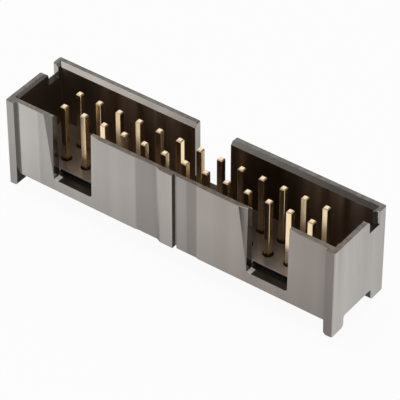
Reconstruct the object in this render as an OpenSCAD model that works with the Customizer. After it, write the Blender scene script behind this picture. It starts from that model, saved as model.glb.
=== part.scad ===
// Boxed pin header for a circuit board: a moulded housing that is open at the
// top, with two rows of square posts standing in its floor.
// X runs along the rows, -Y is the wall with the two key notches, +Z is up.
// The origin lies on the board, in the middle of the pin field.

/* [Pins] */
// Pins in each of the two rows
pins_per_row = 13; // [9:1:25]
// Distance between neighbouring pins of a row
pitch = 2.54; // [2.2:0.01:3]
// Distance between the two rows
row_gap = 2.54; // [2:0.01:4]
// Side of the square pin
pin_side = 0.64; // [0.4:0.01:0.8]
// How far the pin tips stay below the rim
tip_drop = 0.65; // [0.2:0.05:2]
// Length of the solder tail below the board face
tail_l = 1.5; // [0.5:0.1:4]
// Depth to which the mating tip is coined on each side
tip_coin = 0.1; // [0.02:0.01:0.15]
// Height of the coined band at the mating tip
tip_coin_h = 0.12; // [0.05:0.01:0.4]
// Depth to which the solder tail is coined on each side
tail_coin = 0.16; // [0.02:0.01:0.18]
// Height of the coined band at the solder tail
tail_coin_h = 0.35; // [0.1:0.05:0.45]
// Air on each side of a pin in its hole in the floor
pin_clear = 0.01; // [0.005:0.005:0.04]

/* [Housing] */
// Height of the walls, from their bottom edge to the rim
wall_h = 9.4; // [8:0.1:14]
// Thickness of the two long walls
side_wall = 0.95; // [0.8:0.05:1.6]
// Thickness of the two end walls
end_wall = 0.78; // [0.7:0.02:1.6]
// Room from the pin row's axis to the long wall beside it
side_room = 2.08; // [1.6:0.02:3]
// Room from the end pin's axis to the end wall
end_room = 4.18; // [3.6:0.02:6]
// Thickness of the floor that holds the pins
floor_t = 1.95; // [1.6:0.05:3]
// Lead-in bevel on the rim of the long walls
side_bevel = 0.42; // [0.1:0.01:0.6]
// Lead-in bevel on the rim of the end walls
end_bevel = 0.28; // [0.1:0.01:0.5]
// Radius of the housing's upright outer corners
corner_r = 0.2; // [0.05:0.05:0.4]
// Width of the dished mouth round each pin, across the floor
dish_d = 1.2; // [1:0.05:1.6]
// Depth of the dished mouth
dish_h = 0.4; // [0.1:0.05:0.8]

/* [Key notches in the front wall] */
// Width of a notch
notch_w = 4.9; // [4:0.1:6]
// Distance from the end of the housing to the middle of the notch
notch_from_end = 8.1; // [6:0.1:9]
// Height of the sill above the wall's bottom edge
sill_h = 1.4; // [0.6:0.05:1.9]
// How far the sill runs on into the floor behind the wall
sill_run = 0.35; // [0:0.05:0.7]
// Radius at the foot of the notch
notch_r = 0.35; // [0.1:0.05:0.6]
// Width of the guide chamfer beside the notch, at the rim
guide_w = 1; // [0.3:0.05:1.4]
// Depth of the guide chamfer into the wall, at the rim
guide_d = 0.2; // [0.05:0.05:0.4]

/* [Key gap in the back wall] */
// Width of the gap
gap_w = 4.4; // [3:0.1:6]
// Radius on the rim on each side of the gap
gap_r = 0.22; // [0.05:0.01:0.4]

/* [Slots in the end walls] */
// Width of a slot
slot_w = 1.6; // [1:0.05:2.2]
// Depth of a slot below the rim
slot_d = 1.6; // [0.8:0.05:3]
// Distance from the slot to the back of the housing
slot_from_back = 1.3; // [1.2:0.05:1.8]
// Radius on the rim in front of the slot
slot_r = 0.6; // [0.1:0.02:0.8]
// Radius on the slot's back edge, where it opens on the outer face
slot_edge_r = 0.25; // [0.05:0.05:0.5]

/* [Front face] */
// Width of the corner post's flat front
post_w = 1.05; // [0.8:0.05:1.6]
// How far the corner post stands out of the wall
post_proud = 0.4; // [0.2:0.02:0.6]
// How far the post's flank leans towards the middle of the wall
post_lean = 0.12; // [0.02:0.02:0.4]
// Length of the shallow field sunk in the middle of the wall
field_l = 8; // [7:0.1:10]
// Distance from the middle of the housing to the middle of the field
field_x = -0.2; // [-0.5:0.05:0.5]
// Depth of the field
field_d = 0.08; // [0.02:0.01:0.2]
// Length of the ramp at each end of the field
field_ramp = 0.4; // [0.1:0.05:0.8]
// Width of the upright groove in the wall
groove_w = 0.3; // [0.2:0.02:0.8]
// Depth of the groove
groove_d = 0.4; // [0.1:0.02:0.5]
// Distance from the middle of the housing to the groove
groove_x = 0.85; // [0:0.05:2]
// Width of the flat pad that ends at the groove
pad_w = 1.55; // [0.6:0.05:1.8]
// Length of the ramp that rises from the field to the pad
pad_ramp = 0.55; // [0.1:0.05:0.8]
// How far the pad stands out of the wall
pad_proud = 0.17; // [0.05:0.01:0.19]

/* [Feet] */
// Height of the feet, which is the gap between the board and the walls
foot_h = 1.4; // [0.5:0.05:2]
// Width of a foot along the rows
foot_w = 1.05; // [0.85:0.05:1.5]
// Length of a front foot along the end wall
front_foot_l = 2.05; // [1.2:0.05:2.6]
// Length of a back foot along the end wall
back_foot_l = 2.15; // [1.2:0.05:2.6]
// Radius on a foot's lower inner edges
foot_r = 0.4; // [0.1:0.05:0.5]
// Radius of the fillet between a foot and the end wall
fillet_r = 0.3; // [0.1:0.05:0.4]

/* [Hidden] */
$fn = 48;
// Overlap that lets a cut run clear of the face it opens
over = 0.5;

cavity_l = (pins_per_row - 1) * pitch + 2 * end_room;
cavity_w = row_gap + 2 * side_room;
body_l = cavity_l + 2 * end_wall;
body_w = cavity_w + 2 * side_wall;
wall_y = -body_w / 2;
front_y = wall_y - post_proud;
back_y = body_w / 2;

floor_z = foot_h + floor_t;
sill_z = foot_h + sill_h;
rim_z = foot_h + wall_h;
tip_z = rim_z - tip_drop;
hole_w = pin_side + 2 * pin_clear;

ROWS = ["a", "b"];
PLASTIC = [0.42, 0.4, 0.38];
GOLD = [0.86, 0.7, 0.4];

function pin_x(i) = (i - (pins_per_row - 1) / 2) * pitch;
function pin_y(row) = (row - 1 / 2) * row_gap;
function pin_name(row, i) = str("pin_", ROWS[row], i < 9 ? "0" : "", i + 1);

// A profile drawn in X and Z, pushed along Y from y0 to y1
module along_y(y0, y1) {
    translate([0, y1, 0])
        rotate([90, 0, 0])
            linear_extrude(y1 - y0)
                children();
}

// A profile drawn in Y and Z, pushed along X from x0 to x1
module along_x(x0, x1) {
    translate([x0, 0, 0])
        rotate([90, 0, 90])
            linear_extrude(x1 - x0)
                children();
}

// A rectangle between two corners
module span(low, high) {
    translate(low)
        square(high - low);
}

// A rectangle between two corners with rounded corners
module round_span(low, high, r) {
    span([low.x + r, low.y], [high.x - r, high.y]);
    span([low.x, low.y + r], [high.x, high.y - r]);
    for (x = [low.x + r, high.x - r], y = [low.y + r, high.y - r])
        translate([x, y])
            circle(r);
}

// Plan of one corner post at the front, with a leaning flank
module post_plan() {
    left = -body_l / 2;
    right = left + post_w;
    polygon([
        [left, front_y],
        [right, front_y],
        [right + post_lean, wall_y],
        [right + post_lean, wall_y + side_wall],
        [left, wall_y + side_wall],
    ]);
}

// Plan of the shallow field in the middle of the front wall, ramped at both ends
module field_plan() {
    half = field_l / 2;
    flat = half - field_ramp;
    translate([field_x, wall_y])
        polygon([
            [-half, -over],
            [half, -over],
            [half, 0],
            [flat, field_d],
            [-flat, field_d],
            [-half, 0],
        ]);
}

// Plan of the pad that rises out of the field and ends at the groove
module pad_plan() {
    right = groove_x - groove_w / 2;
    left = right - pad_w;
    polygon([
        [left - pad_ramp, wall_y + field_d],
        [left, wall_y - pad_proud],
        [right, wall_y - pad_proud],
        [right, wall_y + side_wall / 2],
        [left - pad_ramp, wall_y + side_wall / 2],
    ]);
}

// Plan of the whole body, with rounded corners
module corner_plan() {
    round_span([-body_l / 2, front_y], [body_l / 2, back_y], corner_r);
}

// Plan of the walls and posts, filled
module wall_plan() {
    intersection() {
        corner_plan();
        union() {
            difference() {
                span([-body_l / 2, wall_y], [body_l / 2, back_y]);
                field_plan();
            }
            pad_plan();
            for (side = [0, 1])
                mirror([side, 0])
                    post_plan();
        }
    }
}

// Outline of a foot from its outer face at zero, rounded below its inner side
module foot_outline(w) {
    span([0, foot_r], [w, foot_h]);
    span([0, 0], [w - foot_r, foot_h]);
    translate([w - foot_r, foot_r])
        circle(foot_r);
}

// Side view of a foot, with a fillet between it and the wall
module foot_side(w) {
    foot_outline(w);
    difference() {
        span([w - foot_r, foot_h - fillet_r], [w + fillet_r, foot_h]);
        translate([w + fillet_r, foot_h - fillet_r])
            circle(fillet_r);
    }
}

// The four feet: what the front view, the side view and the plan share
module feet() {
    intersection() {
        along_y(front_y, back_y)
            for (side = [0, 1])
                mirror([side, 0])
                    translate([-body_l / 2, 0])
                        foot_outline(foot_w);
        along_x(-body_l / 2, body_l / 2) {
            translate([front_y, 0])
                foot_side(front_foot_l);
            translate([back_y, 0])
                mirror([1, 0])
                    foot_side(back_foot_l);
        }
        linear_extrude(foot_h)
            corner_plan();
    }
}

// Outer form of the housing before anything is cut out of it
module outer_form() {
    translate([0, 0, foot_h])
        linear_extrude(wall_h)
            wall_plan();
    feet();
}

// Cross-section of the cavity, flaring over the bevel at the rim
module cavity_section(width, bevel) {
    top = rim_z + over;
    half = width / 2;
    polygon([
        [-half, floor_z],
        [half, floor_z],
        [half, rim_z - bevel],
        [half + bevel + over, top],
        [-half - bevel - over, top],
        [-half, rim_z - bevel],
    ]);
}

// Hollow that takes the mating plug
module cavity() {
    intersection() {
        along_x(-body_l, body_l)
            cavity_section(cavity_w, side_bevel);
        along_y(-body_w, body_w)
            cavity_section(cavity_l, end_bevel);
    }
}

// Outline of a key notch, with rounded corners at its sill
module notch_outline() {
    low = [-notch_w / 2, sill_z];
    high = [notch_w / 2, rim_z + over];
    span([low.x, low.y + notch_r], high);
    round_span(low, high, notch_r);
}

// Shallow chamfer that guides the key into a notch, fading out above the notch's rounded foot.
// Its plane runs through one point of the notch's edge there and two points at the rim.
module guide_chamfer() {
    edge = notch_w / 2;
    foot_z = sill_z + notch_r;
    rise = rim_z - foot_z;
    normal = [-rise / guide_w, -rise / guide_d, 1];
    tilt = acos(normal.z / norm(normal));
    turn = atan2(normal.y, normal.x);
    reach = 2 * wall_h;
    intersection() {
        translate([edge - over, wall_y - post_proud - over, foot_z])
            cube([guide_w + 2 * over, post_proud + guide_d + 2 * over, rise + over]);
        translate([edge, wall_y, foot_z])
            rotate([0, tilt, turn])
                translate([-reach / 2, -reach / 2, 0])
                    cube(reach);
    }
}

// The two key notches of the front wall
module key_notches() {
    for (side = [-1, 1])
        translate([side * (body_l / 2 - notch_from_end), 0, 0]) {
            along_y(front_y - over, sill_run - cavity_w / 2)
                notch_outline();
            for (jamb = [0, 1])
                mirror([jamb, 0, 0])
                    guide_chamfer();
        }
}

// What is cut from a rim to round its edge, where an opening starts at zero
module rim_round(r) {
    difference() {
        span([-r, rim_z - r], [over, rim_z + over]);
        translate([-r, rim_z - r])
            circle(r);
    }
}

// The key gap of the back wall, down to the floor
module key_gap() {
    half = gap_w / 2;
    along_y(0, back_y + over) {
        span([-half, floor_z], [half, rim_z + over]);
        for (side = [0, 1])
            mirror([side, 0])
                translate([-half, 0])
                    rim_round(gap_r);
    }
}

// One slot in each end wall, rounded on the rim in front of it and on its back edge
module end_slots() {
    far = back_y - slot_from_back;
    near = far - slot_w;
    side_x = body_l / 2;
    for (side = [0, 1])
        mirror([side, 0, 0]) {
            along_x(cavity_l / 2 - over, side_x + over) {
                span([near, rim_z - slot_d], [far, rim_z + over]);
                translate([near, 0])
                    rim_round(slot_r);
            }
            translate([side_x - slot_edge_r, far + slot_edge_r, rim_z - slot_d])
                linear_extrude(slot_d + over)
                    difference() {
                        span([0, -slot_edge_r - over], [slot_edge_r + over, 0]);
                        circle(slot_edge_r);
                    }
        }
}

// Upright groove in the front face
module face_groove() {
    translate([groove_x - groove_w / 2, wall_y - over, foot_h - over])
        cube([groove_w, groove_d + over, wall_h + 2 * over]);
}

// Square hole and dished mouth for every pin
module pin_holes() {
    for (row = [0:1], i = [0:pins_per_row - 1])
        translate([pin_x(i), pin_y(row), 0]) {
            translate([-hole_w / 2, -hole_w / 2, foot_h - over])
                cube([hole_w, hole_w, floor_t + 2 * over]);
            translate([0, 0, floor_z - dish_h])
                cylinder(h = dish_h, d1 = hole_w, d2 = dish_d);
            translate([0, 0, floor_z])
                cylinder(h = over, d = dish_d);
        }
}

// The moulded housing, in one piece
module housing() {
    color(PLASTIC)
        difference() {
            outer_form();
            cavity();
            key_notches();
            key_gap();
            end_slots();
            face_groove();
            pin_holes();
        }
}

// Side view of a pin, coined at both ends
module pin_side_view() {
    half = pin_side / 2;
    polygon([
        [-half, tip_z - tip_coin_h],
        [-half + tip_coin, tip_z],
        [half - tip_coin, tip_z],
        [half, tip_z - tip_coin_h],
        [half, -tail_l + tail_coin_h],
        [half - tail_coin, -tail_l],
        [-half + tail_coin, -tail_l],
        [-half, -tail_l + tail_coin_h],
    ]);
}

// One square pin, the same from both sides
module pin(row, i) {
    color(GOLD)
        translate([pin_x(i), pin_y(row), 0])
            intersection() {
                along_x(-pin_side, pin_side)
                    pin_side_view();
                along_y(-pin_side, pin_side)
                    pin_side_view();
            }
}

housing();
for (row = [0:1], i = [0:pins_per_row - 1])
    pin(row, i);
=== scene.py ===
import math

import bpy
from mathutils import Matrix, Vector


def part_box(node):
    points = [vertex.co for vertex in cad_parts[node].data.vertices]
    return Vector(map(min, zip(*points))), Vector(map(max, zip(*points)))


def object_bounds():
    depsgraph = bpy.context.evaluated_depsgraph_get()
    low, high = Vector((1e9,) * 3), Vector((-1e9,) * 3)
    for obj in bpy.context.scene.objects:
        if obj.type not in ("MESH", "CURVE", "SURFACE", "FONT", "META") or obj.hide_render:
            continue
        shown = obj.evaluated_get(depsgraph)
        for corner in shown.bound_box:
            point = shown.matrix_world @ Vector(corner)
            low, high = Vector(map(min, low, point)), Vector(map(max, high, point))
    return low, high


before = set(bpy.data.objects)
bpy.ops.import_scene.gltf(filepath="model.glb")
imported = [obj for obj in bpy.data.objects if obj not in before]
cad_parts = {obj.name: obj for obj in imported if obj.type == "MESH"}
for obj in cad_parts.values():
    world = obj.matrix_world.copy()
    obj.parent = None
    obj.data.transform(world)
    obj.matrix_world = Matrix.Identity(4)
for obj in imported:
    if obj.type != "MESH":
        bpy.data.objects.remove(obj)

CAD_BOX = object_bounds()
MM = 0.001

# Camera, fitted to the pin tips and to the corners of the housing. Angles are in degrees.
VIEW_AZIMUTH = 36.26
VIEW_ELEVATION = 40.03
VIEW_AIM = Vector((0.869, 0.0, 4.792)) * MM
VIEW_DISTANCE = 281.3 * MM
VIEW_NEAREST = 0.01
VIEW_FARTHEST = 20
LENS_MM = 252.0
SENSOR_MM = 36.0

# Lamps: azimuth and elevation in degrees, distance and size in metres, power in watts
SOFTBOXES = {
    "key_left": (-66, 40, 0.5, (0.4, 0.3), 0.24),
    "top": (20, 80, 0.45, (0.3, 0.3), 0.8),
}

# Sky: the way in which it falls off, its levels along that way, the heights between which the white horizon
# ends, and the share of it that lights the object
SKY_AXIS = (0.7, -0.35, 0.3)
SKY_MIDDLE = 0.5
SKY_LEVELS = ((0.2, 1.0), (0.6, 0.42), (0.87, 0.12))
HORIZON = (0.1, 0.3)
SKY_SHARE = 0.8

# Table: its size in metres, its colour, its share of plain white where it is seen, and what is left of that
# white in mirrors under the housing, where a shadow is painted
TABLE_SIZE = 6
TABLE_COLOR = (0.9, 0.9, 0.89, 1)
TABLE_WHITE = 0.94
TABLE_SHADOW_UNDER = 0.12

# Soft edges of the moulding and of the drawn wire
HOUSING_EDGE = 0.05 * MM
PIN_EDGE = 0.045 * MM
EDGE_SEGMENTS = 2
SHARP_ANGLE = math.radians(80.5)
FLAT_ANGLE = math.radians(0.5)
SPLIT_ANGLE = math.radians(1)
WELD_GAP = 0.0005 * MM

# Sizes of the housing in millimetres, like all places and spans below
FOOT_H = 1.4
FOOT_W = 1.05
FLOOR_T = 1.95
SIDE_WALL = 0.95
END_WALL = 0.78
POST_PROUD = 0.4
NOTCH_W = 4.9
NOTCH_FROM_END = 8.1
NOTCH_R = 0.35
SILL_H = 1.4
SILL_RUN = 0.35
GUIDE_W = 1.0
GAP_W = 4.4
SLOT_D = 1.6
DISH_D = 1.2

# Places on the housing
LOW, HIGH = [Vector(corner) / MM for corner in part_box("housing")]
FIRST_PIN, NEXT_PIN, LAST_PIN = [
    (Vector(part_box(pin)[0]) + Vector(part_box(pin)[1])) / 2 / MM for pin in ("pin_b01", "pin_b02", "pin_b13")
]
PITCH = NEXT_PIN.x - FIRST_PIN.x
END_X = HIGH.x
RIM_Z = HIGH.z
WALL_Y = LOW.y + POST_PROUD
CAVITY_X = END_X - END_WALL
CAVITY_Y = HIGH.y - SIDE_WALL
FLOOR_Z = FOOT_H + FLOOR_T
SILL_Z = FOOT_H + SILL_H
SILL_END = SILL_RUN - CAVITY_Y
NOTCH_NEAR = END_X - NOTCH_FROM_END - NOTCH_W / 2
NOTCH_FAR = END_X - NOTCH_FROM_END + NOTCH_W / 2
LEFT_JAMB = -NOTCH_FAR
RIGHT_JAMB = NOTCH_NEAR
GUIDE_FOOT = SILL_Z + NOTCH_R
GUIDE_LEAN = GUIDE_W / (RIM_Z - GUIDE_FOOT)
GAP_JAMB = -GAP_W / 2
SLOT_Z = RIM_Z - SLOT_D
FOOT_X = END_X - FOOT_W
DISH_R = DISH_D / 2

# Parts of a face's normal at which it starts to belong to a zone, and at which it wholly does
LOOKING = (0.5, 0.7)
LEVEL = (0.85, 0.95)
SLANTED = (0.1, 0.15)
FRONTAL = (-0.6, -0.9)

# Depths of the zones from the faces or edges that they belong to, and where the cavity, its floor and the
# mouths round the pins end
FRONT_DEPTH = 0.35
FLANK_DEPTH = 0.05
FAR_WALL_DEPTH = 0.3
END_DEPTH = 0.3
RIM_DEPTH = 0.55
SILL_BELOW_RIM = 0.7
JAMB_DEPTH = 0.15
HOLLOW_Z = SILL_Z + 0.125
FLOOR_TOP = FLOOR_Z + 0.04
MOUTH_R = DISH_R - 0.02

# Spans: start and end along X, Y or Z, and the blur of both ends where it isn't the usual one
# Where the table's painted shadow lies under the housing
TABLE_X = (LOW.x, HIGH.x, 0.6)
TABLE_Y = (LOW.y, HIGH.y, 0.6)
HOLLOW_X = (-CAVITY_X - 0.01, CAVITY_X + 0.01, 0.005)
HOLLOW_Y = (-CAVITY_Y - 0.01, CAVITY_Y + 0.01, 0.005)
# Where the painted reflection of the lit jamb lies at the left end of each sill
SILL_REFLECTION_X = [(jamb - 0.05, jamb + 0.55, 0.05) for jamb in (LEFT_JAMB, RIGHT_JAMB)]
SILL_REFLECTION_Y = (WALL_Y - 0.1, WALL_Y + 0.85, 0.05)
RISER_X = (-NOTCH_FAR - 0.45, NOTCH_FAR + 0.45)
RISER_Y = (SILL_END - 0.12, SILL_END + 0.1)
RISER_Z = (SILL_Z - 0.05, FLOOR_Z - 0.03)
PINS_X = (FIRST_PIN.x - 1, LAST_PIN.x + 1)
GAP_JAMB_X = (GAP_JAMB - 0.8, GAP_JAMB + 0.2)
# Where the near rim's front part is given painted shade
DARK_NEAR_RIM_X = (-5, 12, 4)
# Where the cavity's wall right of the gap gets deeper painted shade
INNER_PAINTED_SHADE_X = (2, 11, 2)

# Spans of the tight places, where edges stay sharp
TIGHT_SLOT_X = END_X - 0.35
TIGHT_SLOT_Z = (SLOT_Z - 0.05, SLOT_Z + 0.05)
TIGHT_FOOT_X = (FOOT_X - 0.05, FOOT_X + 0.05)
TIGHT_FOOT_Z = (1.0, FOOT_H + 0.05)
TIGHT_GUIDE_Y = WALL_Y + 0.075
TIGHT_GUIDE_Z = (GUIDE_FOOT - 0.1, GUIDE_FOOT + 0.05)

# Upright fields of the front wall: start and end along X, and how much brighter or darker each is painted, as
# painted reflections
FIELD_BLUR = 0.1
FRONT_FIELDS = [
    (-20.3, -19.1, -0.10),
    (-19.0, -16.4, 0.18),
    (-16.2, -14.4, -0.08),
    (-4.0, -1.4, -0.24),
    (-1.2, 0.7, 0.13),
    (1.0, 2.3, -0.12),
    (2.3, 3.6, -0.27),
    (19.1, 20.3, -0.12),
]

# Brightness of whole zones, as shares of the outer walls' own: painted shade on the rim and on the flanks
# that look to the right
RIM_TONE = 0.43
FLANK_TONE = 0.4

# How much darker the guide facets are painted, as painted shade, and how far from its edge the right one
# reaches that
LEFT_GUIDE_SHADE = 0.5
RIGHT_GUIDE_SHADE = 0.18
GUIDE_EDGE_BLEND = (0.1, 0.75)

# Gradients: two levels, and the places along X, Y or Z between which the first turns into the second. All but
# the streaks, the blush and the browner rim lay painted reflections, highlights, light and shade
FRONT_BY_X = (1.0, 0.63, -8, 20)
FRONT_BY_Z = (0.83, 1.0, FOOT_H, 7)
GUIDE_EDGE_BY_Z = (0.27, 0.62, 4.8, RIM_Z - 0.3)
NEAR_RIM_BY_Y = (-0.1, 0.0, -3, -2.9)
FAR_BEVEL_BY_X = (0.14, -0.68, -16, 18)
LEFT_BEVEL_BY_X = (0.35, 0.0, -19.3, -19.1)
LEFT_JAMB_BY_Z = (1.6, 0.25, 6, 7.6)
LEFT_JAMB_BY_Y = (1.7, 0.6, -4.2, -3.4)
RIGHT_JAMB_BY_Z = (1.0, 4.0, 3, 9)
END_BY_Y = (0.0, -0.14, 0, 4)
STREAKS_BY_Z = (0.0, 1.0, 3, RIM_Z)
GAP_JAMB_BY_Z = (-0.45, -0.15, 6, 10.5)
BLUSH_BY_X = (0.0, 1.0, -12, 12)
RIM_BROWN_BY_Y = (1.0, 0.15, -3, -2)
RIM_BROWN_BY_X = (0.4, 1.0, -14, -6)
INNER_PAINTED_LIGHT_BY_X = (0.8, 0.0, -18, -15)
FLOOR_PAINTED_LIGHT_BY_Y = (1.0, 0.0, -3, 1)
FLOOR_PAINTED_LIGHT_BY_X = (0.5, 1.0, -12, 12)

# Noises: size of the cells along each axis, and detail
FLOW_BANDS = ((3.2, 3.2, 70.0), 2.8)
MOULD_GRAIN = ((0.12, 0.12, 0.12), 3.0)
END_STREAKS = ((0.9, 0.9, 9.0), 1.5)
RIM_WEAR = ((0.6, 0.6, 0.6), 3.0)
FLOOR_SPOTS = ((1.6, 0.9, 3.0), 2.0)
DRAWING_LINES = ((0.06, 0.06, 4.0), 2.0)
GOLD_CLOUDS = ((1.5, 1.5, 3.0), 2.0)

# Changes of brightness by noise: two levels, and the values of the noise between which they blend
STREAK_TONES = (-0.1, 0.1, 0.3, 0.7)
WEAR_TONES = (-0.09, 0.09, 0.35, 0.65)

# Values of the noise between which a pair of colours blends, and the most that the floor's spots cover
OUTER_SPREAD = (0.32, 0.68)
INNER_SPREAD = (0.35, 0.65)
GOLD_SPREAD = (0.35, 0.65)
SPOT_SHARE = 0.7

# Colours of the moulding and the plating, each pair from the dark bands to the light ones
OUTER_BANDS = ((0.375, 0.356, 0.332), (0.445, 0.424, 0.396))
# Painted shade of the cavity's walls, and deeper painted shade right of the gap
SHADED_INNER_BANDS = ((0.12, 0.076, 0.048), (0.28, 0.213, 0.168))
INNER_PAINTED_SHADE = (0.055, 0.036, 0.022)
INNER_PAINTED_SHADE_SHARE = 0.9
FRONT_BLUSH = (1.03, 0.96, 0.95)
RIM_BROWN_TINT = (1.03, 0.885, 0.78)
BEVEL_BROWN_SHARE = 0.3
# Painted light on the cavity's floor near the front
FLOOR_PAINTED_LIGHT = (0.36, 0.32, 0.3)
FLOOR_SPOT = (0.17, 0.13, 0.105)
# Painted dark reflection on the sills and the slots' floors
SILL_PAINTED_SHADE = (0.045, 0.036, 0.03)
# Painted reflection of the lit jamb on each sill
SILL_PAINTED_REFLECTION = (0.75, 0.73, 0.71)
# Painted shade on the step from the sills up to the floor
RISER_PAINTED_SHADE = (0.02, 0.016, 0.014)
# Painted shade in the dished mouths round the pins
MOUTH_PAINTED_SHADE = (0.03, 0.022, 0.016)
GOLD_BANDS = ((0.96, 0.73, 0.45), (0.99, 0.79, 0.53))

# Gloss: roughness from smooth to rough grain, what the zones add to it, and how metallic each looks
PLASTIC_ROUGHNESS = (0.08, 0.15)
HOLLOW_ROUGHER = 0.25
SILL_ROUGHER = 0.2
FLOOR_ROUGHER = -0.14
WALLS_METALLIC = 0.9
FLOOR_METALLIC = 0.554
SILL_REFLECTION_METALLIC = 0.208
GOLD_ROUGHNESS = (0.18, 0.28)
GRAIN_RELIEF = 0.05
LINES_RELIEF = 0.08
RELIEF_DEPTH = 0.01 * MM


class Nodes:
    """Short names for building one node tree. A value may be a number, a colour or another node's socket."""

    def __init__(self, tree):
        self.tree = tree
        self.tree.nodes.clear()

    def add(self, kind, **inputs):
        node = self.tree.nodes.new(kind)
        for name, value in inputs.items():
            self.set(node, name.replace("_", " "), value)
        return node

    def set(self, node, name, value):
        socket = node.inputs[name]
        if isinstance(value, bpy.types.NodeSocket):
            self.tree.links.new(value, socket)
        else:
            socket.default_value = value

    def math(self, operation, *values):
        node = self.tree.nodes.new("ShaderNodeMath")
        node.operation = operation
        for place, value in enumerate(values):
            self.set(node, place, value)
        return node.outputs[0]

    def vector(self, operation, *values):
        node = self.tree.nodes.new("ShaderNodeVectorMath")
        node.operation = operation
        for place, value in enumerate(values):
            self.set(node, place, value)
        return node

    def axes(self, vector):
        """The X, Y and Z of a vector."""
        return self.add("ShaderNodeSeparateXYZ", Vector=vector).outputs

    def millimetres(self, vector):
        return self.vector("DIVIDE", vector, (MM, MM, MM)).outputs[0]

    def product(self, first, *others):
        for other in others:
            first = self.math("MULTIPLY", first, other)
        return first

    def total(self, first, *others):
        for other in others:
            first = self.math("ADD", first, other)
        return first

    def less(self, first, second):
        return self.math("SUBTRACT", first, second)

    def blend(self, value, low, high, start=0.0, end=1.0):
        """Low up to the start, high from the end on, and even in between."""
        node = self.add("ShaderNodeMapRange", Value=value)
        self.set(node, "From Min", start)
        self.set(node, "From Max", end)
        self.set(node, "To Min", low)
        self.set(node, "To Max", high)
        return node.outputs["Result"]

    def rise(self, value, start, end):
        return self.blend(value, 0.0, 1.0, start, end)

    def past(self, value, place, blur=0.05):
        """0 before a place and 1 past it, blurred by this much on both sides of it."""
        return self.rise(value, place - blur, place + blur)

    def before(self, value, place, blur=0.05):
        """1 before a place and 0 past it, blurred by this much on both sides of it."""
        return self.blend(value, 1.0, 0.0, place - blur, place + blur)

    def band(self, value, start, end, blur=0.02):
        """1 from the start to the end, and 0 elsewhere."""
        return self.product(self.past(value, start, blur), self.before(value, end, blur))

    def around(self, value, place, reach):
        """1 within reach of a place, and 0 elsewhere."""
        return self.band(value, place - reach, place + reach)

    def noise(self, place, cells, detail):
        """Noise in cells of the given size along each axis."""
        cell = self.vector("DIVIDE", place, cells).outputs[0]
        return self.add("ShaderNodeTexNoise", Vector=cell, Scale=1.0, Detail=detail).outputs["Fac"]

    def ramp(self, factor, *stops):
        """Colours at places of a factor, each stop a place and a colour."""
        node = self.add("ShaderNodeValToRGB", Fac=factor)
        elements = node.color_ramp.elements
        elements[0].position, elements[0].color = stops[0][0], (*stops[0][1], 1)
        elements[1].position, elements[1].color = stops[-1][0], (*stops[-1][1], 1)
        for position, color in stops[1:-1]:
            elements.new(position).color = (*color, 1)
        return node.outputs["Color"]

    def mix(self, factor, first, second, mode="MIX"):
        """First colour where the factor is 0, and the second over it where the factor is 1."""
        node = self.add("ShaderNodeMix", Factor=factor)
        node.data_type = "RGBA"
        node.blend_type = mode
        self.set(node, 6, first)
        self.set(node, 7, second if isinstance(second, bpy.types.NodeSocket) else (*second, 1))
        return node.outputs[2]

    def surface(self, shader):
        kind = "ShaderNodeOutputWorld" if shader.type == "BACKGROUND" else "ShaderNodeOutputMaterial"
        self.add(kind, Surface=shader.outputs[0])


class Spot:
    """The shaded point of a surface: its place in millimetres and the way that its face looks."""

    def __init__(self, nodes):
        source = nodes.add("ShaderNodeTexCoord").outputs
        self.place = nodes.millimetres(source["Object"])
        self.x, self.y, self.z = nodes.axes(self.place)
        self.out_x, self.out_y, self.out_z = nodes.axes(source["Normal"])


class Zones:
    """Parts of the housing's surface: each is 1 there and 0 elsewhere. Sideward is along +X."""

    def __init__(self, nodes, at):
        self.upward = nodes.rise(at.out_z, *LOOKING)
        self.sideward = nodes.rise(at.out_x, *LOOKING)
        self.back = nodes.past(at.y, CAVITY_Y - FAR_WALL_DEPTH)
        self.add_front(nodes, at)
        self.add_top(nodes, at)
        self.add_inside(nodes, at)

    def add_front(self, nodes, at):
        """The front wall, the flanks that look to the right, and the guide facets left of the notches."""
        self.front = nodes.product(
            nodes.rise(at.out_y, *FRONTAL),
            nodes.before(at.y, WALL_Y + FRONT_DEPTH),
        )
        self.flank = nodes.product(
            self.sideward,
            nodes.band(at.x, END_DEPTH - END_X, END_X - END_DEPTH),
            nodes.before(at.y, -CAVITY_Y - FLANK_DEPTH),
        )
        facet = nodes.product(self.front, nodes.rise(at.out_x, *SLANTED))
        self.left_guide = nodes.product(facet, nodes.around(at.x, LEFT_JAMB - GUIDE_W / 2, GUIDE_W))
        self.right_guide = nodes.product(facet, nodes.around(at.x, RIGHT_JAMB - GUIDE_W / 2, GUIDE_W))

    def add_top(self, nodes, at):
        """The flat rim, and the lead-in bevels inside it."""
        high = nodes.past(at.z, RIM_Z - RIM_DEPTH)
        self.rim = nodes.product(nodes.rise(at.out_z, *LEVEL), high)
        self.lead_in = nodes.product(self.upward, high, nodes.less(1.0, self.rim))

    def add_inside(self, nodes, at):
        """The cavity with its floor, the notches' sills, and the pale spot at the left end of each sill, a
        painted reflection of the lit jamb.
        """
        self.hollow = nodes.product(
            nodes.band(at.x, *HOLLOW_X),
            nodes.band(at.y, *HOLLOW_Y),
            nodes.past(at.z, HOLLOW_Z, blur=0.025),
        )
        self.floor = nodes.product(self.hollow, nodes.before(at.z, FLOOR_TOP, blur=0.02))
        self.sill = nodes.product(
            self.upward,
            nodes.before(at.z, RIM_Z - SILL_BELOW_RIM, blur=0.1),
            nodes.less(1.0, self.floor),
        )
        self.sill_reflection = nodes.product(
            nodes.total(*[nodes.band(at.x, *span) for span in SILL_REFLECTION_X]),
            nodes.band(at.y, *SILL_REFLECTION_Y),
            self.sill,
        )


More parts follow.
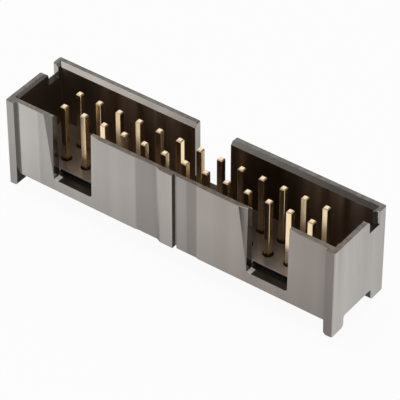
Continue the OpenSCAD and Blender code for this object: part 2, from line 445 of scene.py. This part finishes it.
def toward(azimuth, elevation):
    """Unit vector from the object towards a viewer; azimuth 0 is in front, on -Y, and 90 on +X."""
    a = math.radians(azimuth)
    e = math.radians(elevation)
    return Vector((math.sin(a) * math.cos(e), -math.cos(a) * math.cos(e), math.sin(e)))


def look_at(obj, place, target):
    obj.location = place
    obj.rotation_euler = (target - place).to_track_quat("-Z", "Y").to_euler()


def add_camera():
    data = bpy.data.cameras.new("photo_camera")
    data.lens = LENS_MM
    data.sensor_width = SENSOR_MM
    data.clip_start = VIEW_NEAREST
    data.clip_end = VIEW_FARTHEST
    camera = bpy.data.objects.new("photo_camera", data)
    bpy.context.scene.collection.objects.link(camera)
    look_at(camera, VIEW_AIM + toward(VIEW_AZIMUTH, VIEW_ELEVATION) * VIEW_DISTANCE, VIEW_AIM)
    bpy.context.scene.camera = camera


def add_softbox(name, azimuth, elevation, distance, size, watts):
    data = bpy.data.lights.new(name, "AREA")
    data.shape = "RECTANGLE"
    data.size, data.size_y = size
    data.energy = watts
    lamp = bpy.data.objects.new(name, data)
    bpy.context.scene.collection.objects.link(lamp)
    look_at(lamp, VIEW_AIM + toward(azimuth, elevation) * distance, VIEW_AIM)


def seen_directly(nodes):
    """1 for rays from the camera, from mirrors and through glass, 0 for light that falls on the object."""
    path = nodes.add("ShaderNodeLightPath").outputs
    seen = nodes.math("MAXIMUM", path["Is Camera Ray"], path["Is Glossy Ray"])
    return nodes.math("MAXIMUM", seen, path["Is Transmission Ray"])


def light_world():
    """White all round at the horizon. Higher up it stays white behind the object's left end and falls off
    towards the photographer and the right."""
    world = bpy.data.worlds.new("studio")
    bpy.context.scene.world = world
    world.use_nodes = True
    nodes = Nodes(world.node_tree)
    direction = nodes.add("ShaderNodeTexCoord").outputs["Generated"]
    aside = nodes.vector("DOT_PRODUCT", direction, SKY_AXIS).outputs["Value"]
    levels = [(place, (level, level, level)) for place, level in SKY_LEVELS]
    upper = nodes.ramp(nodes.total(aside, SKY_MIDDLE), *levels)
    low = nodes.less(1.0, nodes.rise(nodes.axes(direction)["Z"], *HORIZON))
    sky = nodes.mix(low, upper, (1, 1, 1))
    level = nodes.product(sky, nodes.blend(seen_directly(nodes), SKY_SHARE, 1.0))
    nodes.surface(nodes.add("ShaderNodeBackground", Color=(1, 1, 1, 1), Strength=level))


def new_material(name):
    material = bpy.data.materials.new(name)
    material.use_nodes = True
    return material, Nodes(material.node_tree)


def table_material():
    """Pale table, white where it is seen. Mirrored in the part, it carries a painted shadow under the housing.
    """
    material, nodes = new_material("pale_table")
    at = Spot(nodes)
    shadow_under = nodes.product(
        nodes.band(at.x, *TABLE_X),
        nodes.band(at.y, *TABLE_Y),
        nodes.add("ShaderNodeLightPath").outputs["Is Glossy Ray"],
    )
    level = nodes.blend(shadow_under, 1.0, TABLE_SHADOW_UNDER)
    lit = nodes.add("ShaderNodeBsdfDiffuse", Color=TABLE_COLOR)
    white = nodes.add("ShaderNodeEmission", Color=(1, 1, 1, 1), Strength=level)
    mixed = nodes.add("ShaderNodeMixShader", Fac=nodes.product(seen_directly(nodes), TABLE_WHITE))
    nodes.set(mixed, 1, lit.outputs[0])
    nodes.set(mixed, 2, white.outputs[0])
    nodes.surface(mixed)
    return material


def add_floor():
    bpy.ops.mesh.primitive_plane_add(size=TABLE_SIZE, location=(0, 0, CAD_BOX[0][2]))
    floor = bpy.context.active_object
    floor.name = "studio_floor"
    floor.data.materials.append(table_material())


def front_tone(nodes, at, zone):
    """Brightness of the front wall, as painted reflections: darker towards the right and the bottom edge, in
    upright fields and on the guide facets."""
    tone = nodes.blend(at.x, *FRONT_BY_X)
    for start, end, change in FRONT_FIELDS:
        tone = nodes.total(tone, nodes.product(nodes.band(at.x, start, end, FIELD_BLUR), change))
    tone = nodes.product(tone, nodes.blend(at.z, *FRONT_BY_Z))
    tone = nodes.less(tone, guide_shade(nodes, at, zone))
    return nodes.blend(zone.front, 1.0, tone)


def guide_shade(nodes, at, zone):
    """How much darker the guide facets are painted, as painted shade: at the right notch most along the outer
    edge, near the rim.
    """
    edge_x = nodes.less(RIGHT_JAMB, nodes.product(nodes.less(at.z, GUIDE_FOOT), GUIDE_LEAN))
    edge_shade = nodes.blend(at.z, *GUIDE_EDGE_BY_Z)
    shade = nodes.blend(nodes.less(at.x, edge_x), edge_shade, RIGHT_GUIDE_SHADE, *GUIDE_EDGE_BLEND)
    return nodes.total(
        nodes.product(zone.right_guide, shade),
        nodes.product(zone.left_guide, LEFT_GUIDE_SHADE),
    )


def rim_tone(nodes, at, zone):
    """Painted reflections on the near rim and on the lead-in bevels of the far wall and the left end: painted
    shade on the near rim's front part, and on the bevels a painted highlight at the left that turns to painted
    shade towards the right.
    """
    near = nodes.product(zone.rim, nodes.blend(at.y, *NEAR_RIM_BY_Y), nodes.band(at.x, *DARK_NEAR_RIM_X))
    far = nodes.product(zone.lead_in, zone.back, nodes.blend(at.x, *FAR_BEVEL_BY_X))
    left = nodes.product(zone.lead_in, zone.sideward, nodes.blend(at.x, *LEFT_BEVEL_BY_X))
    return nodes.total(near, far, left)


def jamb_tone(nodes, at, zone):
    """Brightness of the notches' left jambs, as painted reflections: at the left notch the jamb is lighter at
    its foot and outer edge, and at the right notch at its top."""
    left = nodes.product(zone.flank, nodes.around(at.x, LEFT_JAMB, JAMB_DEPTH))
    left_level = nodes.product(nodes.blend(at.z, *LEFT_JAMB_BY_Z), nodes.blend(at.y, *LEFT_JAMB_BY_Y))
    right = nodes.product(zone.flank, nodes.around(at.x, RIGHT_JAMB, JAMB_DEPTH))
    right_level = nodes.blend(at.z, *RIGHT_JAMB_BY_Z)
    return nodes.product(nodes.blend(left, 1.0, left_level), nodes.blend(right, 1.0, right_level))


def end_tone(nodes, at, zone):
    """Change of brightness on the right end wall: darker to the back, a painted reflection, and streaked below
    the rim.
    """
    streaks = nodes.blend(nodes.noise(at.place, *END_STREAKS), *STREAK_TONES)
    streaks = nodes.product(streaks, nodes.blend(at.z, *STREAKS_BY_Z))
    change = nodes.total(nodes.blend(at.y, *END_BY_Y), streaks)
    return nodes.product(zone.sideward, nodes.past(at.x, END_X - JAMB_DEPTH), change)


def gap_tone(nodes, at, zone):
    """Painted shade on the left jamb of the gap in the back wall, deepest low down."""
    jamb = nodes.band(at.x, *GAP_JAMB_X)
    return nodes.product(zone.sideward, zone.back, jamb, nodes.blend(at.z, *GAP_JAMB_BY_Z))


def outer_color(nodes, at, zone, bands):
    """Outer walls and rim: upright flow bands, with tones of painted reflections, highlights and shade, a
    faint blush on the front, and a browner tint, strongest on the near rim, and on the lead-in bevels.
    """
    wear = nodes.blend(nodes.noise(at.place, *RIM_WEAR), *WEAR_TONES)
    tone = nodes.product(
        front_tone(nodes, at, zone),
        nodes.blend(zone.rim, 1.0, RIM_TONE),
        nodes.blend(zone.flank, 1.0, FLANK_TONE),
    )
    tone = nodes.product(nodes.total(tone, rim_tone(nodes, at, zone)), jamb_tone(nodes, at, zone))
    tone = nodes.total(
        tone,
        end_tone(nodes, at, zone),
        gap_tone(nodes, at, zone),
        nodes.product(zone.rim, wear),
    )
    color = nodes.vector("SCALE", nodes.ramp(bands, *zip(OUTER_SPREAD, OUTER_BANDS)))
    nodes.set(color, "Scale", tone)
    blush = nodes.product(zone.front, nodes.blend(at.x, *BLUSH_BY_X))
    color = nodes.mix(blush, color.outputs[0], FRONT_BLUSH, "MULTIPLY")
    rim_brown = nodes.product(zone.rim, nodes.blend(at.y, *RIM_BROWN_BY_Y), nodes.blend(at.x, *RIM_BROWN_BY_X))
    rim_brown = nodes.total(rim_brown, nodes.product(zone.lead_in, BEVEL_BROWN_SHARE))
    return nodes.mix(rim_brown, color, RIM_BROWN_TINT, "MULTIPLY")


def shaded_inner_color(nodes, at, bands):
    """Walls of the cavity in painted shade, with painted light at its left end and deeper painted shade to the
    right of the gap.
    """
    color = nodes.ramp(bands, *zip(INNER_SPREAD, SHADED_INNER_BANDS))
    color = nodes.mix(nodes.blend(at.x, *INNER_PAINTED_LIGHT_BY_X), color, SHADED_INNER_BANDS[1])
    return nodes.mix(nodes.product(nodes.band(at.x, *INNER_PAINTED_SHADE_X), INNER_PAINTED_SHADE_SHARE), color, INNER_PAINTED_SHADE)


def pin_mouths(nodes, at):
    """1 in the dished mouth round each pin, which is painted in shade."""
    along = nodes.math("WRAP", at.x, -PITCH / 2, PITCH / 2)
    across = nodes.less(nodes.math("ABSOLUTE", at.y), FIRST_PIN.y)
    radius = nodes.math("SQRT", nodes.total(nodes.product(along, along), nodes.product(across, across)))
    mouth = nodes.before(radius, MOUTH_R, blur=0.04)
    return nodes.product(mouth, nodes.band(at.x, *PINS_X))


def sill_riser(nodes, at):
    """1 on the step from the notches' sills up to the cavity's floor, which is painted in shade."""
    return nodes.product(
        nodes.band(at.x, *RISER_X),
        nodes.band(at.y, *RISER_Y),
        nodes.band(at.z, *RISER_Z),
    )


def floor_color(nodes, at, zone, color):
    """Colours over the given one on the cavity's floor, the notches' sills and the step between them: painted
    light on the floor near the front, a painted dark reflection on the sills with a painted reflection of the
    lit jamb at their left end, and painted shade on the step and in the mouths round the pins. The floor's
    spots are its own.
    """
    # Painted dark reflection on the sills and other low ledges
    color = nodes.mix(zone.sill, color, SILL_PAINTED_SHADE)
    color = nodes.mix(zone.sill_reflection, color, SILL_PAINTED_REFLECTION)
    # Painted light on the floor, strongest near the front
    light = nodes.product(nodes.blend(at.y, *FLOOR_PAINTED_LIGHT_BY_Y), nodes.blend(at.x, *FLOOR_PAINTED_LIGHT_BY_X))
    color = nodes.mix(nodes.product(zone.floor, light), color, FLOOR_PAINTED_LIGHT)
    spots = nodes.product(nodes.noise(at.place, *FLOOR_SPOTS), SPOT_SHARE)
    color = nodes.mix(nodes.product(zone.floor, spots), color, FLOOR_SPOT)
    color = nodes.mix(sill_riser(nodes, at), color, RISER_PAINTED_SHADE)
    return nodes.mix(nodes.product(zone.floor, pin_mouths(nodes, at)), color, MOUTH_PAINTED_SHADE)


def fine_relief(nodes, height, strength):
    bump = nodes.add("ShaderNodeBump", Height=height, Strength=strength, Distance=RELIEF_DEPTH)
    return bump.outputs["Normal"]


def plastic_material():
    """Glossy dark moulding compound with upright flow bands and a fine mould grain.

    The walls of the cavity are darker, as painted shade, and rougher than the outer ones, and its floor is
    less metallic. The rim and the flanks that look to the right are darkened with painted shade, and the outer
    walls carry painted reflections and highlights as tones by place."""
    material, nodes = new_material("housing_plastic")
    at = Spot(nodes)
    zone = Zones(nodes, at)
    bands = nodes.noise(at.place, *FLOW_BANDS)
    grain = nodes.noise(at.place, *MOULD_GRAIN)
    color = nodes.mix(zone.hollow, outer_color(nodes, at, zone, bands), shaded_inner_color(nodes, at, bands))
    rough = nodes.total(
        nodes.blend(grain, *PLASTIC_ROUGHNESS),
        nodes.product(zone.hollow, HOLLOW_ROUGHER),
        nodes.product(zone.sill, SILL_ROUGHER),
        nodes.product(zone.floor, FLOOR_ROUGHER),
    )
    metallic = nodes.blend(zone.floor, WALLS_METALLIC, FLOOR_METALLIC)
    nodes.surface(nodes.add(
        "ShaderNodeBsdfPrincipled",
        Base_Color=floor_color(nodes, at, zone, color),
        Metallic=nodes.blend(zone.sill_reflection, metallic, SILL_REFLECTION_METALLIC),
        Roughness=rough,
        Normal=fine_relief(nodes, grain, GRAIN_RELIEF),
    ))
    return material


def gold_material():
    """Bright gold plating over drawn wire, with faint drawing lines along the pin."""
    material, nodes = new_material("pin_gold")
    at = Spot(nodes)
    lines = nodes.noise(at.place, *DRAWING_LINES)
    clouds = nodes.noise(at.place, *GOLD_CLOUDS)
    nodes.surface(nodes.add(
        "ShaderNodeBsdfPrincipled",
        Base_Color=nodes.ramp(clouds, *zip(GOLD_SPREAD, GOLD_BANDS)),
        Metallic=1.0,
        Roughness=nodes.blend(lines, *GOLD_ROUGHNESS),
        Normal=fine_relief(nodes, lines, LINES_RELIEF),
    ))
    return material


def tight_places(nodes):
    """1 on the slots' floors, the feet's inner faces and the guides' feet, where a curve or facet runs out
    along an edge and leaves no room to round it."""
    x, y, z = nodes.axes(nodes.millimetres(nodes.add("GeometryNodeInputPosition").outputs[0]))
    aside = nodes.math("ABSOLUTE", x)
    slot = nodes.product(nodes.past(aside, TIGHT_SLOT_X), nodes.band(z, *TIGHT_SLOT_Z))
    foot = nodes.product(nodes.band(aside, *TIGHT_FOOT_X), nodes.band(z, *TIGHT_FOOT_Z))
    guide = nodes.product(nodes.before(y, TIGHT_GUIDE_Y, blur=0.025), nodes.band(z, *TIGHT_GUIDE_Z))
    return nodes.total(slot, foot, guide)


def sharp_edges():
    """Node group that marks the sharp edges for rounding, apart from the tight places."""
    tree = bpy.data.node_groups.new("sharp_edges", "GeometryNodeTree")
    tree.interface.new_socket("Geometry", in_out="INPUT", socket_type="NodeSocketGeometry")
    tree.interface.new_socket("Geometry", in_out="OUTPUT", socket_type="NodeSocketGeometry")
    nodes = Nodes(tree)
    angle = nodes.add("GeometryNodeInputMeshEdgeAngle").outputs["Unsigned Angle"]
    sharp = nodes.math("GREATER_THAN", angle, SHARP_ANGLE)
    store = nodes.tree.nodes.new("GeometryNodeStoreNamedAttribute")
    store.data_type = "FLOAT"
    store.domain = "EDGE"
    nodes.set(store, "Geometry", nodes.add("NodeGroupInput").outputs[0])
    nodes.set(store, "Name", "bevel_weight_edge")
    nodes.set(store, "Value", nodes.less(sharp, tight_places(nodes)))
    nodes.add("NodeGroupOutput", Geometry=store.outputs[0])
    return tree


def soften(obj, width, marks):
    """Small rounded edges, as a mould or a die leaves them."""
    weld = obj.modifiers.new("weld", "WELD")
    weld.merge_threshold = WELD_GAP
    flat = obj.modifiers.new("flat_faces", "DECIMATE")
    flat.decimate_type = "DISSOLVE"
    flat.angle_limit = FLAT_ANGLE
    obj.modifiers.new("sharp_edges", "NODES").node_group = marks
    bevel = obj.modifiers.new("soft_edges", "BEVEL")
    bevel.width = width
    bevel.segments = EDGE_SEGMENTS
    bevel.limit_method = "WEIGHT"
    bevel.use_clamp_overlap = False
    bevel.loop_slide = False
    crisp = obj.modifiers.new("crisp_faces", "EDGE_SPLIT")
    crisp.split_angle = SPLIT_ANGLE


def dress(name, material, edge, marks):
    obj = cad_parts[name]
    obj.data.materials.clear()
    obj.data.materials.append(material)
    soften(obj, edge, marks)


marks = sharp_edges()
gold = gold_material()
dress("housing", plastic_material(), HOUSING_EDGE, marks)
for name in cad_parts:
    if name.startswith("pin_"):
        dress(name, gold, PIN_EDGE, marks)

add_camera()
light_world()
add_floor()
for name, settings in SOFTBOXES.items():
    add_softbox(name, *settings)
bpy.context.scene.view_settings.view_transform = "Standard"
